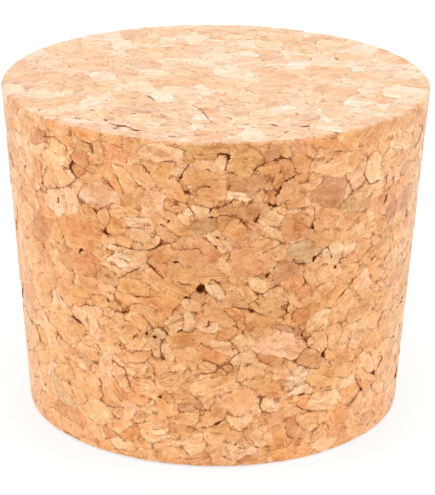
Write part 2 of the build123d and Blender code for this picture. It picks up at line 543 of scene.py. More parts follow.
class Gashes:
    """The seen gashes as points along them, each with its half width and its gash's number."""

    def __init__(self):
        points, widths, numbers, at_end = [], [], [], []
        wave, wobble = Lattice(GASH_WAVE), Lattice(GASH_WOBBLE_WAVE, 3)
        for number, (width, *pixels) in enumerate(SEEN_GASHES):
            half_width = width * GASH_UNIT
            corners = np.array([seen_place(pixel) for pixel in pixels])
            lengths = np.linalg.norm(np.diff(corners, axis=0), axis=1)
            stations = np.concatenate([[0], np.cumsum(lengths)])
            share = np.linspace(0, 1, math.ceil(stations[-1] / MESH_STEP * GASH_SAMPLES_A_STEP) + 1)
            along = share * stations[-1]
            run = np.column_stack([np.interp(along, stations, axis) for axis in corners.T])
            run = onto_skin(run + GASH_WOBBLE * wobble(run))[0]
            slimness = min(1, stations[-1] / half_width / GASH_SLIM)
            taper = 1 - slimness * (1 - GASH_END_SHARE) * (1 - np.sin(math.pi * share))
            points.append(run)
            unevenness = 1 + GASH_UNEVENNESS * wave(run)[:, 0]
            widths += (GASH_WIDTH_SHARE * half_width * taper * unevenness).tolist()
            numbers += [number] * len(run)
            at_end.append(on_ends(run).all())
        self.points = np.vstack(points)
        self.widths = np.array(widths)
        self.numbers = np.array(numbers)
        least, most = GASH_DEPTH
        depths = least + GASH_UNIT * np.array([width for width, *_ in SEEN_GASHES])
        self.depths = np.minimum(depths, most) * np.where(at_end, END_LOW_SHARE, 1)

    def cut_into(self, points):
        """Each mesh point's gash number or -1, its distance from the gash and the gash's half width there.

        Each gash draws onto itself the mesh points that it passes, so that even a thin one runs unbroken.
        """
        passed = nearest(self.points, points)[0]
        pairs, pair, samples = np.unique(np.column_stack([self.numbers, passed]), axis=0, return_inverse=True,
                                         return_counts=True)
        sums = [np.bincount(pair.ravel(), self.points[:, k]) for k in range(3)]
        middles = np.column_stack(sums) / samples[:, None]
        most = np.zeros(len(SEEN_GASHES), int)
        np.maximum.at(most, pairs[:, 0], samples)
        kept = samples >= np.minimum(most[pairs[:, 0]], GASH_LEAST_SAMPLES)
        drawn = np.full(len(points), -1)
        drawn[pairs[kept, 1]] = pairs[kept, 0]
        points[pairs[kept, 1]] = middles[kept]
        found, distance = nearest(points, self.points)
        width = self.widths[found]
        number = np.where(distance < width, self.numbers[found], drawn)
        return number, distance, width


# Skin mesh

def ring_stations():
    """Stations along the outline for the rings of the skin's mesh, with marks on those that jitter."""
    keys = [STATIONS[0], STATIONS[1], STATIONS[SIDE_RUN], STATIONS[SIDE_RUN + 1], STATIONS[-2], STATIONS[-1]]
    stations, loose = [keys[0]], [False]
    for start, end in zip(keys, keys[1:]):
        steps = max(LEAST_ROWS, math.ceil((end - start) / MESH_ROW))
        for k in range(1, steps + 1):
            stations.append(start + (end - start) * k / steps)
            loose.append(k < steps and end - start > JITTERED_ROWS * MESH_ROW)
    return stations, loose


def skin_mesh():
    """Points on the solid's surface and the triangles between them, in rings about the axis."""
    points, rings = [], []
    for station, loose in zip(*ring_stations()):
        radius, _ = at_station(station)
        count = max(LEAST_IN_RING, round(math.tau * radius / MESH_STEP))
        if radius < POLE_RADIUS:
            count = 1
        jitter = rng.uniform(-1, 1, (2, count)) * MESH_JITTER_SHARE
        angle = (np.arange(count) + rng.uniform() + jitter[0]) * math.tau / count
        radius, height = at_station(station + loose * jitter[1] * MESH_ROW)
        rings.append((sum(len(p) for p in points), angle))
        points.append(spin(radius, height, angle))
    triangles = []
    for lower, upper in zip(rings, rings[1:]):
        triangles += stitch(lower, upper)
    return np.vstack(points), np.array(triangles)


def stitch(lower, upper):
    """Triangles between two rings, each given as its first point's number and its points' angles."""
    (first, angle), (other_first, other_angle) = lower, upper
    count, other_count = len(angle), len(other_angle)
    angle = np.append(angle, angle[0] + math.tau)
    other_angle = np.append(other_angle, other_angle[0] + math.tau)
    i = j = 0
    triangles = []
    while i < count or j < other_count:
        here, there = first + i % count, other_first + j % other_count
        if j == other_count or (i < count and angle[i + 1] <= other_angle[j + 1]):
            if count > 1:
                triangles.append((here, first + (i + 1) % count, there))
            i += 1
        else:
            if other_count > 1:
                triangles.append((here, other_first + (j + 1) % other_count, there))
            j += 1
    return triangles


class Skin:
    """The skin cut along the granules' edges. Corners are numbered mesh points first, then cut points.

    faces holds (corners, granules) for each kind of face, joints (start, end, left granule, right granule).
    """

    def __init__(self, points, triangles, depths, gashes):
        gash, gap, gash_width = gashes.cut_into(points)
        self.inside_gash = np.where(gash < 0, 0, np.maximum(gash_width - gap, 0))
        values = depths(points)
        self.points = points
        self.base = len(points)
        own = values.argmin(1)
        self.granule = np.where(gash < 0, own, values.shape[1] + gash)

        # Edges whose ends belong to different granules are cut where both are as near
        sides = np.concatenate([triangles[:, [0, 1]], triangles[:, [1, 2]], triangles[:, [2, 0]]])
        sides.sort(axis=1)
        edges, edge_of = np.unique(sides, axis=0, return_inverse=True)
        a, b = edges.T
        crossed = self.granule[a] != self.granule[b]
        cut_number = self.base + np.cumsum(crossed) - 1
        a, b = a[crossed], b[crossed]
        near = values[a, own[a]] - values[a, own[b]]
        far = values[b, own[a]] - values[b, own[b]]
        share = np.clip(near / np.minimum(near - far, -FLAT**2), *CUT_SHARE_LIMITS)

        # Edges that leave a gash are cut at its own side
        for inner, outer, backwards in ((a, b, False), (b, a, True)):
            leaving = (gash[inner] >= 0) & (gash[outer] < 0)
            i, o = inner[leaving], outer[leaving]
            out_by = (gash_width[i] - gap[i]) / np.maximum(gap[o] - gap[i], FLAT)
            out_by = np.clip(out_by, *GASH_CUT_LIMITS)
            share[leaving] = 1 - out_by if backwards else out_by

        cuts = points[a] * (1 - share[:, None]) + points[b] * share[:, None]
        self.cut_pairs = np.column_stack([self.granule[a], self.granule[b]])
        self.divide(triangles, cut_number[edge_of.reshape(3, -1).T], cuts)

    def divide(self, triangles, cut, cuts):
        """Faces, joints and cut points from the triangles, their corners' granules and their sides' cuts."""
        labels = self.granule[triangles]
        alike = labels == np.roll(labels, -1, axis=1)
        same = alike.all(1)
        three = ~alike.any(1)
        two = ~same & ~three

        # Where two granules meet, the odd corner is cut off
        odd = (np.argmax(alike[two], axis=1) + 2) % 3
        row = np.arange(two.sum())
        first, second, third = (triangles[two][row, (odd + k) % 3] for k in range(3))
        out, back = cut[two][row, odd], cut[two][row, (odd + 2) % 3]
        its, rest = self.granule[first], self.granule[second]

        # Where three meet, each has its corner, up to a point in the middle
        a, b, c = triangles[three].T
        ab, bc, ca = cut[three].T
        la, lb, lc = labels[three].T
        middle = self.base + len(cuts) + np.arange(len(a))
        self.faces = [
            (triangles[same], labels[same, 0]),
            (np.column_stack([first, out, back]), its),
            (np.column_stack([out, second, third, back]), rest),
            (np.column_stack([a, ab, middle, ca]), la),
            (np.column_stack([b, bc, middle, ab]), lb),
            (np.column_stack([c, ca, middle, bc]), lc),
        ]
        self.joints = np.vstack([
            np.column_stack([out, back, its, rest]),
            np.column_stack([ab, middle, la, lb]),
            np.column_stack([bc, middle, lb, lc]),
            np.column_stack([ca, middle, lc, la]),
        ])
        self.corner_granules = np.column_stack([la, lb, lc])
        corners = (cuts[ab - self.base] + cuts[bc - self.base] + cuts[ca - self.base]) / 3
        places = smoothed(np.vstack([cuts, corners]), self.joints[:, :2] - self.base)
        self.cuts, self.cut_normals = onto_skin(places)
        self.places = np.vstack([self.points, self.cuts])

    def areas(self, count):
        """Area of each granule's face."""
        total = np.zeros(count)
        for corners, labels in self.faces:
            p = self.places[corners]
            for k in range(2, corners.shape[1]):
                size = np.linalg.norm(np.cross(p[:, k - 1] - p[:, 0], p[:, k] - p[:, 0]), axis=1) / 2
                total += np.bincount(labels, size, count)
        return total


def smoothed(places, links):
    """Places drawn towards the mean of their linked neighbours."""
    here, there = np.concatenate([links, links[:, ::-1]]).T
    count = np.maximum(np.bincount(here, minlength=len(places)), 1)[:, None]
    sums = [np.bincount(here, axis[there], len(places)) for axis in places.T]
    return places + CUT_SMOOTHING * (np.column_stack(sums) / count - places)


def nearest(places, targets):
    """For each place, the number of the nearest target and the distance to it."""
    tree = KDTree(len(targets))
    for number, target in enumerate(targets):
        tree.insert(target, number)
    tree.balance()
    found = [tree.find(place)[1:] for place in places]
    return np.array([n for n, _ in found]), np.array([d for _, d in found])


def joint_openness(skin, granules, gashes):
    """How far the joint stands open at each cut point, from 0 to 1: by its granules, and by its corners.

    It is less on the ends, and less near the seen gashes, which stand for the open joints there.
    """
    gap = np.concatenate([rng.uniform(0, 1, granules.count), np.full(len(gashes.depths), np.nan)])
    wave = Lattice(JOINT_WAVE)

    def along(pairs, places):
        chance = (gap[pairs[:, 0]] + gap[pairs[:, 1]]) % 1
        share = np.clip((chance - CLOSED_SHARE) / (1 - CLOSED_SHARE), 0, 1)
        return share**JOINT_CONTRAST * np.clip(JOINT_MEAN + JOINT_SPREAD * wave(places)[:, 0], 0, 1)

    split = len(skin.cut_pairs)
    corners = skin.cuts[split:]
    sides = [along(skin.corner_granules[:, [i, (i + 1) % 3]], corners) for i in range(3)]
    openness = np.concatenate([along(skin.cut_pairs, skin.cuts[:split]), np.max(sides, axis=0)])
    strength = rng.uniform(CORNER_LEAST, 1, len(corners))
    strength *= rng.uniform(0, 1, len(corners)) < CORNER_OPEN_SHARE
    number, distance = nearest(skin.cuts, corners)
    fade = np.clip(1 - distance / CORNER_REACH, 0, 1)
    openness = np.maximum(openness, strength[number] * fade)
    openness *= np.clip(ZONE_MEAN + ZONE_SPREAD * Lattice(ZONE_WAVE)(skin.cuts)[:, 0], 0, 1)
    openness[on_ends(skin.cuts)] *= END_OPEN_SHARE
    openness[nearest(skin.cuts, gashes.points)[1] < NEAR_GASH] *= NEAR_GASH_OPEN_SHARE
    return np.where(openness > OPEN_LIMIT, openness, 0)


def granule_sinks(skin, granules, gashes):
    """How far each granule's face, then each gash, lies below the surface; some small faces are voids."""
    count = granules.count
    sink = np.abs(rng.normal(0, SETTLE, count))
    low = rng.uniform(0, 1, count) < LOW_SHARE
    sink[low] += rng.uniform(*LOW_DEPTH, low.sum())
    sink[on_ends(granules.centres)] *= END_LOW_SHARE
    small = skin.areas(count + len(gashes.depths))[:count] < VOID_AREA
    unseen = (nearest(granules.centres, gashes.points)[1] > NEAR_GASH) & ~on_ends(granules.centres)
    void = small & unseen & (rng.uniform(0, 1, count) < VOID_SHARE)
    sink[void] += rng.uniform(*VOID_DEPTH, void.sum())
    return np.concatenate([sink, gashes.depths])


def rim_wear(places):
    """How deep the two rims are worn and chipped at places on the skin."""
    station = on_outline(places)[:, 0]
    rims = (STATIONS[1] + STATIONS[SIDE_RUN]) / 2, (STATIONS[SIDE_RUN + 1] + STATIONS[-2]) / 2
    gap = np.min([np.abs(station - rim) for rim in rims], axis=0)
    chips = sum(Lattice(wave)(places)[:, 0] for wave in RIM_WAVES)
    return RIM_WEAR * np.clip(1 - gap / RIM_REACH, 0, 1) * np.clip(chips, 0, 1)


def granule_looks(granules, gashes):
    """Tint, direction of the growth lines and a number of its own for each granule, then for each gash."""
    count = granules.count + len(gashes.depths)
    names = granules.tints + [GASH_TINT] * len(gashes.depths)
    common = linear(TINTS[COMMON_TINT][0])
    tint = common + TINT_STRENGTH * (np.array([linear(TINTS[name][0]) for name in names]) - common)
    tint = tint * (1 + rng.normal(0, TINT_SPREAD, (count, 1)) + rng.normal(0, TINT_HUE_SPREAD, (count, 3)))
    grain = np.vstack([unit(granules.shapes[:, 0]), np.tile(GASH_GRAIN, (len(gashes.depths), 1))])
    grain = unit(grain + rng.normal(0, GRAIN_SPREAD, (count, 3)))
    tint = np.column_stack([tint, np.ones(count)])
    return {"tint": tint, "grain": grain, "odd_number": rng.uniform(0, 1, count)}


class Lips:
    """A vertex for each cut point and granule that meet, numbered after the skin's own corners."""

    def __init__(self, skin, label_count, closed):
        self.skin, self.label_count, self.closed = skin, label_count, closed
        self.keys = np.unique(np.concatenate([keys for *_, keys in self.cut_corners()]))
        self.cut, self.granule = np.divmod(self.keys, label_count)

    def cut_corners(self):
        """Faces that have a cut point at one of their corners, with that corner and its lip's key."""
        for corners, labels in self.skin.faces:
            for k in range(corners.shape[1]):
                cut = corners[:, k] >= self.skin.base
                keys = (corners[cut, k] - self.skin.base) * self.label_count + labels[cut]
                yield corners[cut], corners[cut, k], keys

    def directions(self):
        """Unit directions from each lip's cut point to the middles of its granule's faces there."""
        places = self.skin.places
        total = np.zeros((len(self.keys), 3))
        for faces, corner, keys in self.cut_corners():
            np.add.at(total, np.searchsorted(self.keys, keys), places[faces].mean(1) - places[corner])
        return unit(total)

    def vertices(self, corners, labels):
        """Vertices for corners, as seen from the granules that they belong to."""
        cut = np.maximum(corners - self.skin.base, 0)
        lip = np.searchsorted(self.keys, cut * self.label_count + labels)
        lip = np.minimum(lip, len(self.keys) - 1)
        at_cut = np.where(self.closed[cut], corners, len(self.skin.places) + lip)
        return np.where(corners < self.skin.base, corners, at_cut)


def joint_levels(skin, sink):
    """Depths of the shallowest and the deepest face at each cut point."""
    shallowest = np.full(len(skin.cuts), np.inf)
    deepest = np.zeros(len(skin.cuts))
    for cut in (skin.joints[:, :2] - skin.base).T:
        for level in sink[skin.joints[:, 2:]].T:
            np.minimum.at(shallowest, cut, level)
            np.maximum.at(deepest, cut, level)
    return shallowest, deepest


def beside_gash(skin, first_gash):
    """True for the cut points on the edge of a gash. Gashes are numbered after the granules."""
    edges = skin.joints[(skin.joints[:, 2:] >= first_gash).any(1), :2]
    return np.isin(np.arange(len(skin.cuts)), edges - skin.base)


def joint_stain(skin, gashes, openness, at_gash):
    """How dark the joint is at each cut point: as far as it stands open, or by the width of a gash."""
    width = gashes.widths[nearest(skin.cuts, gashes.points)[0]]
    by_width = np.minimum(GASH_STAIN + GASH_STAIN_SHARE * width, GASH_STAIN_MOST)
    return np.where(at_gash, by_width, openness)


def skin_faces(skin, lips, sink):
    """The vertices of every face, the granule or gash that it belongs to, and its material."""
    faces, owners, materials = [], [], []
    for corners, labels in skin.faces:
        faces += lips.vertices(corners, labels[:, None]).tolist()
        owners += labels.tolist()
        ground = np.where(on_ends(skin.places[corners].mean(1)), END_MATERIAL, SIDE_MATERIAL)
        materials += np.where(sink[labels] > HOLLOW_DEPTH, JOINT_MATERIAL, ground).tolist()

    # Walls from the lips to the joint's floor, where they are apart
    start, end, left, right = skin.joints.T
    for p, q, labels in ((end, start, left), (start, end, right)):
        lips_there = lips.vertices(np.column_stack([p, q]), labels[:, None])
        walls = np.column_stack([lips_there, q, p]).tolist()
        for wall, label in zip(walls, labels.tolist()):
            ring = [v for i, v in enumerate(wall) if v != wall[i - 1]]
            if len(ring) > 2:
                faces.append(ring)
                owners.append(label)
                materials.append(JOINT_MATERIAL)
    return faces, np.array(owners), np.array(materials, np.int32)


def build_skin():
    """The cork's skin as a mesh, with its attributes for the material."""
    warps = [(Lattice(cell, 3), reach) for cell, reach in WARPS]

    def warp(places):
        return sum(reach * lattice(places) for lattice, reach in warps)

    def depths(places):
        return granules.depths(places + warp(places))

    granules = sow_granules(warp)
    for tint, pixels in SEEN_TINTS.items():
        for number in depths(np.array([seen_place(pixel) for pixel in pixels])).argmin(1):
            granules.tints[number] = tint
    gashes = Gashes()
    skin = Skin(*skin_mesh(), depths, gashes)
    openness = joint_openness(skin, granules, gashes)
    sink = granule_sinks(skin, granules, gashes)
    looks = granule_looks(granules, gashes)
    at_gash = beside_gash(skin, granules.count)

    # A joint that neither opens nor steps is closed, and its lips are one
    shallowest, deepest = joint_levels(skin, sink)
    lips = Lips(skin, len(sink), (openness == 0) & (deepest - shallowest < STEP_DEPTH))

    # Lips draw back from an open joint, towards the middle of their granule's faces
    reach = JOINT_HALF_WIDTH * openness[lips.cut]
    lip_places, lip_normals = onto_skin(skin.cuts[lips.cut] + lips.directions() * reach[:, None])
    base_places, base_normals = onto_skin(skin.points)
    flat = np.vstack([base_places, skin.cuts, lip_places])
    normals = np.vstack([base_normals, skin.cut_normals, lip_normals])
    owner = np.concatenate([skin.granule, np.zeros(len(skin.cuts), int), lips.granule])
    first_cut, first_lip = skin.base, len(skin.places)

    # Depth below the solid's surface: granules lie a little aslant, and joints have a floor of their own
    roughness = ROUGHNESS_DEPTH * Lattice(ROUGHNESS_WAVE)(flat)[:, 0]
    tilt = rng.normal(0, TILT_RISE, (len(sink), 3))
    tilt[granules.count:] = 0
    centres = np.vstack([granules.centres, np.zeros((len(gashes.depths), 3))])
    slope = np.einsum("vi,vi->v", flat - centres[owner], tilt[owner])
    depth = sink[owner] + np.clip(slope, 0, STEP_DEPTH) + roughness
    floor = np.where(at_gash, shallowest + GASH_WALL_SHARE * (deepest - shallowest), deepest)
    depth[first_lip:] += LIP_DROP
    depth[first_cut:first_lip] = floor + LIP_DROP + JOINT_DEPTH * openness
    # Painted shade: the deeper a point lies, the darker it is painted, for the shade in joints, gashes and
    # voids
    dark = np.clip(depth / FULL_SHADE_DEPTH, 0, 1)
    depth += rim_wear(flat)

    # Distance in from the granule's edge, below zero inside a gash, and how dark that edge is
    cut_near, edge_distance = nearest(base_places, skin.cuts)
    edge_distance = np.where(skin.inside_gash > 0, -skin.inside_gash, edge_distance)
    inward = np.concatenate([edge_distance / EDGE_REACH, np.zeros(len(flat) - first_cut)])
    stain = joint_stain(skin, gashes, openness, at_gash)
    joint = np.concatenate([stain[cut_near], stain, stain[lips.cut]])

    faces, owners, materials = skin_faces(skin, lips, sink)
    used = np.unique(np.concatenate(faces))
    number = np.full(len(flat), -1)
    number[used] = np.arange(len(used))
    shown = (flat - normals * depth[:, None])[used]
    mesh = bpy.data.meshes.new("cork_skin")
    mesh.from_pydata(shown.tolist(), [], [number[face].tolist() for face in faces])
    mesh.validate()
    for name, values in (("dark", dark), ("inward", inward), ("joint", joint)):
        write_attribute(mesh, name, "FLOAT", "POINT", values[used])
    for name, kind in (("tint", "FLOAT_COLOR"), ("grain", "FLOAT_VECTOR"), ("odd_number", "FLOAT")):
        write_attribute(mesh, name, kind, "FACE", looks[name][owners])
    mesh.polygons.foreach_set("material_index", materials)
    write_map(mesh, flat[used])
    return mesh


def write_attribute(mesh, name, kind, domain, values):
    """Values as an attribute of the mesh's points or faces."""
    field = {"FLOAT": "value", "FLOAT_VECTOR": "vector", "FLOAT_COLOR": "color"}[kind]
    data = mesh.attributes.new(name, kind, domain).data
    data.foreach_set(field, values.astype(np.float32).ravel())


def write_map(mesh, flat):
    """A map of the unrolled skin: the side in strips, one above the other, and the two ends beside them."""
    strips, margin = MAP_STRIPS, MAP_MARGIN
    vertex = np.zeros(len(mesh.loops), int)
    mesh.loops.foreach_get("vertex_index", vertex)
    totals = np.zeros(len(mesh.polygons), int)
    mesh.polygons.foreach_get("loop_total", totals)
    polygon = np.repeat(np.arange(len(totals)), totals)
    place = flat[vertex]
    middle = np.column_stack([np.bincount(polygon, place[:, k]) for k in range(3)]) / totals[:, None]
    station = on_outline(middle)[:, 0]
    foot = (station < STATIONS[1])[polygon]
    top = (station > STATIONS[-2])[polygon]
    turn = np.arctan2(middle[:, 1], middle[:, 0])[polygon]
    strip = np.clip(((turn + math.pi) / math.tau * strips).astype(int), 0, strips - 1)
    angle = np.arctan2(place[:, 1], place[:, 0])
    angle = turn + (angle - turn + math.pi) % math.tau - math.pi
    widest = OUTLINE[:, 0].max()
    strip_length = math.tau * widest / strips
    strip_height = STATIONS[-2] - STATIONS[1]
    u = margin + (angle + math.pi) * widest - strip * strip_length
    v = margin + strip * (strip_height + margin) + on_outline(place)[:, 0] - STATIONS[1]
    beside = 3 * margin + strip_length + widest
    u = np.where(foot | top, beside + np.where(foot, -1, 1) * place[:, 0], u)
    v = np.where(foot, margin + widest + place[:, 1], v)
    v = np.where(top, 3 * margin + 3 * widest + place[:, 1], v)
    whole = max(beside + widest + margin, margin + strips * (strip_height + margin))
    layer = mesh.uv_layers.new(name="OFBake")
    layer.data.foreach_set("uv", (np.column_stack([u, v]) / whole).astype(np.float32).ravel())


# Cork material

# Noise patterns: the coordinates that they run over, wavelength, detail and distortion
PATTERNS = {
    "fibres": ("drawn", 0.00026, 3.0, 0.4),
    "growth": ("drawn", 0.0008, 2.0, 0.6),
    "blotches": ("own", 0.0011, 4.0, 0.0),
    "patches": ("own", 0.0016, 1.0, 0.0),
    "crumbs": ("place", 0.00030, 3.0, 0.0),
    "cells": ("place", 0.00012, 2.0, 0.0),
    "breaks": ("place", 0.0006, 2.0, 0.0),
    "zones": ("place", 0.0024, 2.0, 0.0),
    # where the ends' pale cover of dust and painted sheen lies
    "dust_and_sheen": ("place", 0.0016, 4.0, 0.0),
}
PATTERN_ROUGHNESS, PATTERN_MIDDLE = 0.55, 0.5
GRANULE_OFFSET, DRAWN_SHARE = (1.0, 0.7, 0.4), 0.1

# Lumps that make up a granule
LUMP_WAVE, LUMP_FLATNESS = 0.0011, (1.0, 1.0, 1.7)
LUMP_WANDER_WAVE, LUMP_WANDER_DETAIL, LUMP_WANDER = 0.0006, 2.0, 0.0007

# Tones: the pattern, its values from where to where, the most of the tone, and what the common tint becomes
MOTTLED_AND_FOOT_LIGHT_TONES = (
    ("blotches", 0.50, 0.72, 0.55, (246, 195, 141)),
    ("blotches", 0.50, 0.28, 0.60, (212, 137, 78)),
    ("fibres", 0.50, 0.25, 0.38, (188, 112, 53)),
    ("fibres", 0.50, 0.75, 0.38, (248, 198, 146)),
    ("crumbs", 0.48, 0.25, 0.36, (190, 112, 54)),
    ("crumbs", 0.52, 0.75, 0.30, (248, 197, 144)),
    ("cells", 0.48, 0.25, 0.38, (184, 108, 52)),
    ("zones", 0.50, 0.70, 0.46, (247, 193, 138)),
    ("zones", 0.50, 0.30, 0.46, (218, 145, 84)),
    # Painted light: the side grows paler towards the foot, as if lit from the bright floor below
    ("height", 0.50 * TOP_HEIGHT, 0.05 * TOP_HEIGHT, 1.0, (245, 180, 121)),
)
LUMP_TONES = (
    ("lumps", 0.5, 1.0, 0.28, (246, 191, 138)),
    ("lumps", 0.5, 0.0, 0.28, (206, 131, 72)),
)
# Painted highlight: granules grow paler towards their edges, where their lips would catch the light
EDGE_HIGHLIGHT_TONES = (
    ("inward", 1.0, 0.2, 0.18, (248, 198, 146)),
)
# On the ends: a paler tone, partly sanded cork and partly painted sheen, and bare orange patches
GROUND_AND_SHEEN_TONE, BARE_TONE = (231, 181, 118), (224, 156, 82)

# Colours of the marks as they look in plain light; the depths' colour is painted shade, and the ends' pale
# cover is partly painted sheen
LINE_COLOUR, OUTLINE_COLOUR, SPECK_COLOUR = (174, 98, 32), (158, 84, 22), (124, 64, 12)
# The colour of the depths is painted shade
EDGE_COLOUR, STAIN_COLOUR, DEPTH_SHADE_COLOUR = (150, 75, 10), (138, 69, 10), (124, 60, 10)
# The ends' pale cover, partly sanding dust and partly painted sheen from grazing light
DUST_AND_SHEEN_COLOUR = (255, 221, 210)

# Ranges of the marks: a pattern's values from where to where, and the shares there, if not 0 and 1
LINE_BREADTH, LINE_PATCHES = (0.045, 0.0), (0.42, 0.62, 0.0, 0.55)
END_FACING, END_FAINTNESS = (0.7, 0.95), (0.0, 1.0, 1.0, 0.7)
# Where the ends' pale cover of dust and painted sheen lies, and its bare patches
PALE_DUST_AND_SHEEN, DUST_AND_SHEEN_NOISE_SHARE = (0.12, 0.30, 0.0, 0.4), 0.6
DUST_AND_SHEEN_COVER, BARE_BLOTCHES = (0.16, 0.70, 0.23, 0.56), (0.52, 0.34, 0.0, 0.30)
OUTLINE_BREADTH, OUTLINE_BREAKS, OUTLINE_RAGGEDNESS = (0.07, 0.0), (0.50, 0.62, 0.0, 0.5), 0.15
SPECK_SIZE, SPECK_PATCHES = (0.36, 0.30), (0.42, 0.30, 0.0, 0.7)
EDGE_BREADTH, EDGE_BREAKS, EDGE_ZONES = (0.36, 0.06), (0.43, 0.59, 0.03, 0.78), (0.36, 0.60, 0.65, 1.0)
EDGE_RAGGEDNESS, STAIN_RAGGED_SHARE = 1.5, 0.7
STAIN_REACH, STAIN_BREADTH = (0.0, 0.8, -0.25, 0.25), (0.0, -0.14, 0.0, 0.95)
# How the painted shade of the depths sets in
DEPTH_SHADE_RANGE = (0.25, 0.95)

# Finish
BUMP_STRENGTH, BUMP_DEPTH = 0.55, 0.00006
CRUMB_RELIEF, LINE_RELIEF = 2.0, 0.8
ROUGHNESS, SHEEN_ROUGHNESS, SHEEN_TINT = 0.8, 0.42, (0.94, 0.94, 0.86, 1.0)


class Nodes:
    """A new material and its nodes, with a short way to add each kind."""

    def __init__(self, name):
        self.material = bpy.data.materials.new(name)
        self.material.use_nodes = True
        self.tree = self.material.node_tree
        self.tree.nodes.clear()

    def add(self, kind, inputs=None, **settings):
        """A node with its settings, and its inputs by name or number: values, or outputs of other nodes."""
        made = self.tree.nodes.new(kind)
        for name, value in settings.items():
            setattr(made, name, value)
        for name, value in (inputs or {}).items():
            if isinstance(value, bpy.types.NodeSocket):
                self.tree.links.new(value, made.inputs[name])
            else:
                made.inputs[name].default_value = value
        return made

    def attribute(self, name, output="Fac"):
        return self.add("ShaderNodeAttribute", attribute_name=name).outputs[output]

    def maths(self, operation, first, second=0.0):
        return self.add("ShaderNodeMath", {0: first, 1: second}, operation=operation).outputs[0]

    def plus(self, first, second):
        return self.maths("ADD", first, second)

    def minus(self, first, second):
        return self.maths("SUBTRACT", first, second)

    def times(self, product, *others):
        for other in others:
            product = self.maths("MULTIPLY", product, other)
        return product

    def vectors(self, operation, first, second):
        made = self.add("ShaderNodeVectorMath", {0: first, 1: second}, operation=operation)
        return made.outputs["Value" if operation == "DOT_PRODUCT" else "Vector"]

    def scaled(self, vector, factor):
        inputs = {0: vector, "Scale": factor}
        return self.add("ShaderNodeVectorMath", inputs, operation="SCALE").outputs["Vector"]

    def ramp(self, value, low, high, to_low=0.0, to_high=1.0):
        """A value eased from one range into another, and held at its ends."""
        ranges = {"From Min": low, "From Max": high, "To Min": to_low, "To Max": to_high}
        eased = self.add("ShaderNodeMapRange", {"Value": value, **ranges}, interpolation_type="SMOOTHSTEP")
        return eased.outputs["Result"]

    def mixed(self, share, colour, other):
        """A colour with a share of another one over it."""
        other = (*linear(other), 1.0)
        return self.add("ShaderNodeMix", {0: share, 6: colour, 7: other}, data_type="RGBA").outputs[2]

    def toned(self, share, colour, becomes):
        """A colour lightened or darkened in the ratio by which the common tint becomes another."""
        ratio = (*linear(becomes) / linear(TINTS[COMMON_TINT][0]), 1.0)
        inputs = {0: share, 6: colour, 7: ratio}
        return self.add("ShaderNodeMix", inputs, data_type="RGBA", blend_type="MULTIPLY").outputs[2]


def cork_patterns(nodes):
    """The patterns by name, and the measures that tones follow in the same way."""
    place = nodes.add("ShaderNodeTexCoord").outputs["Object"]
    grain = nodes.attribute("grain", "Vector")

    # Every granule has its own piece of a pattern, and some are drawn out along its growth lines
    own = nodes.vectors("ADD", place, nodes.scaled(GRANULE_OFFSET, nodes.attribute("odd_number")))
    lengthwise = nodes.scaled(grain, nodes.vectors("DOT_PRODUCT", own, grain))
    across = nodes.vectors("SUBTRACT", own, lengthwise)
    drawn = nodes.vectors("ADD", across, nodes.scaled(lengthwise, DRAWN_SHARE))
    coordinates = {"place": place, "own": own, "drawn": drawn}

    patterns = {"inward": nodes.attribute("inward")}
    patterns["height"] = nodes.add("ShaderNodeSeparateXYZ", {0: place}).outputs["Z"]
    for name, (over, wavelength, detail, distortion) in PATTERNS.items():
        waves = {"Scale": 1 / wavelength, "Detail": detail, "Distortion": distortion}
        inputs = {"Vector": coordinates[over], "Roughness": PATTERN_ROUGHNESS, **waves}
        patterns[name] = nodes.add("ShaderNodeTexNoise", inputs).outputs["Fac"]

    # Lumps, each with a shade and the distance to its edge
    waves = {"Scale": 1 / LUMP_WANDER_WAVE, "Detail": LUMP_WANDER_DETAIL}
    wander = nodes.add("ShaderNodeTexNoise", {"Vector": place, **waves}).outputs["Color"]
    wandered = nodes.vectors("ADD", own, nodes.scaled(wander, LUMP_WANDER))
    flattened = nodes.vectors("MULTIPLY", wandered, LUMP_FLATNESS)
    lumps = {"Vector": flattened, "Scale": 1 / LUMP_WAVE}
    shade = nodes.add("ShaderNodeTexVoronoi", lumps).outputs["Color"]
    edges = nodes.add("ShaderNodeTexVoronoi", lumps, feature="DISTANCE_TO_EDGE")
    patterns["lumps"] = nodes.add("ShaderNodeSeparateColor", {"Color": shade}).outputs["Red"]
    patterns["lump_edges"] = edges.outputs["Distance"]
    return patterns


def with_tones(nodes, patterns, colour, tones):
    """A colour with the tones of some patterns on it."""
    for name, start, end, share, becomes in tones:
        colour = nodes.toned(nodes.ramp(patterns[name], start, end, 0.0, share), colour, becomes)
    return colour


def with_dust_and_sheen(nodes, patterns, colour, end_face):
    """A colour that is paler on the ground ends, partly for sanding dust and partly as painted sheen, the
    pale veil that grazing light lays on them; the palest granules hold the most of it.
    """
    tint = nodes.attribute("tint", "Color")
    paleness = nodes.add("ShaderNodeSeparateColor", {"Color": tint}).outputs["Blue"]
    dust_and_sheen_amount = nodes.times(patterns["dust_and_sheen"], DUST_AND_SHEEN_NOISE_SHARE)
    dust_and_sheen_amount = nodes.plus(dust_and_sheen_amount, nodes.ramp(paleness, *PALE_DUST_AND_SHEEN))
    dust_and_sheen = nodes.times(end_face, nodes.ramp(dust_and_sheen_amount, *DUST_AND_SHEEN_COVER))
    bare = nodes.times(end_face, nodes.ramp(patterns["blotches"], *BARE_BLOTCHES))
    colour = nodes.toned(end_face, colour, GROUND_AND_SHEEN_TONE)
    colour = nodes.mixed(dust_and_sheen, colour, DUST_AND_SHEEN_COLOUR)
    return nodes.toned(bare, colour, BARE_TONE)


